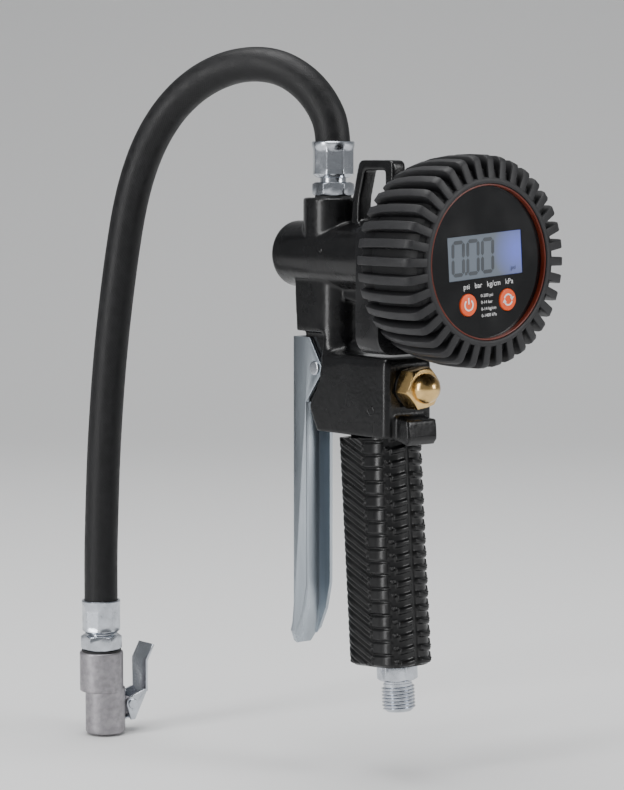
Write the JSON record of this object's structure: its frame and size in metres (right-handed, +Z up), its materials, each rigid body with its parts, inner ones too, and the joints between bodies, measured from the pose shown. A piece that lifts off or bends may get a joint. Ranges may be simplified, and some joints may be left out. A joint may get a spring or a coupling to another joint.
{
  "type": "tyre inflator with gauge",
  "caption": "Pistol-grip tyre inflator with a squeeze lever, a round digital gauge in a ribbed rubber boot, and a short hose that ends in a clip-on chuck.",
  "frame": {"origin": "centre of the inlet thread's free end, where the air line couples on and holds the tool up", "axes": "+Z up through the handle to the gauge, -Y the way the dial faces, +Y the side of the squeeze lever, +X sideways"},
  "size_m": [0.0989, 0.195, 0.2867],
  "materials": {
    "black_paint": "glossy black powder coat on die-cast metal",
    "black_grip": "glossy black moulded grip",
    "bright_zinc": "bright zinc-plated steel",
    "lever_zinc": "blue-white zinc-plated sheet steel",
    "brass": "polished brass",
    "satin_cast": "satin grey die-cast metal",
    "boot_rubber": "matte dark grey rubber",
    "hose_rubber": "black rubber with a faint cloth texture",
    "seal_rubber": "black nitrile rubber",
    "black_plastic": "black moulded plastic",
    "dial_black": "gloss black dial",
    "orange_plastic": "orange-red plastic",
    "lcd_glass": "grey-blue display pane",
    "board_green": "green circuit board",
    "battery_skin": "plain grey battery sleeve",
    "steel": "plain steel"
  },
  "bodies": {
    "inflator": {"batteries": "battery_skin", "battery_contacts": "steel", "battery_door": "black_plastic", "battery_housing": "black_plastic", "bezel_ring": "orange_plastic", "body_casting": "black_paint", "button_switches": "black_plastic", "cap_nut_seal": "seal_rubber", "case_screws": "steel", "chuck_body": "satin_cast", "chuck_gasket": "seal_rubber", "chuck_washer": "seal_rubber", "circuit_board": "board_green", "core_depressor": "brass", "dial_plate": "dial_black", "door_screw": "steel", "ferrule_bottom": "bright_zinc", "ferrule_top": "bright_zinc", "fitting_seal": "seal_rubber", "gauge_boot": "boot_rubber", "gauge_case": "black_plastic", "gauge_stem": "brass", "grip_sleeve": "black_grip", "hose": "hose_rubber", "hose_fitting_bottom": "bright_zinc", "hose_fitting_top": "bright_zinc", "inlet_filter": "steel", "inlet_nipple": "bright_zinc", "inlet_seal": "seal_rubber", "lcd_module": "lcd_glass", "lcd_window": "lcd_glass", "pressure_sensor": "steel", "stem_seal": "seal_rubber", "stem_washer": "seal_rubber", "valve_cap_nut": "brass", "valve_seat": "seal_rubber", "valve_spring": "steel"},
    "lever": {"lever": "lever_zinc", "lever_pin": "lever_zinc"},
    "valve": {"valve_stem": "brass", "poppet_seal": "seal_rubber"},
    "power_key": {"button_power": "orange_plastic"},
    "units_key": {"button_units": "orange_plastic"},
    "clip": {"clip_lever": "lever_zinc", "clip_pin": "lever_zinc"}
  },
  "joints": [
    {"name": "lever_squeeze", "type": "hinge", "parent": "inflator", "child": "lever", "pos_m": [0, 0.0438, 0.1328], "axis": [-1, 0, 0], "range_deg": [0, 15], "stiffness_Nm_per_rad": 0.5, "springref_deg": -11.46},
    {"name": "valve_travel", "type": "slide", "parent": "inflator", "child": "valve", "axis": [0, -1, 0], "range_m": [0, 0.00085]},
    {"name": "power_press", "type": "slide", "parent": "inflator", "child": "power_key", "axis": [0, 1, 0], "range_m": [0, 0.0005], "stiffness_N_per_m": 2000, "springref_m": -0.0005},
    {"name": "units_press", "type": "slide", "parent": "inflator", "child": "units_key", "axis": [0, 1, 0], "range_m": [0, 0.0005], "stiffness_N_per_m": 2000, "springref_m": -0.0005},
    {"name": "clip_open", "type": "hinge", "parent": "inflator", "child": "clip", "pos_m": [-0.0371, 0.1348, -0.0139], "axis": [0, -1, 0], "range_deg": [0, 24], "stiffness_Nm_per_rad": 0.06, "springref_deg": -17.19}
  ],
  "couplings": [
    {"joint": "valve_travel", "follows": "lever_squeeze", "m_per_rad": 0.0032}
  ]
}
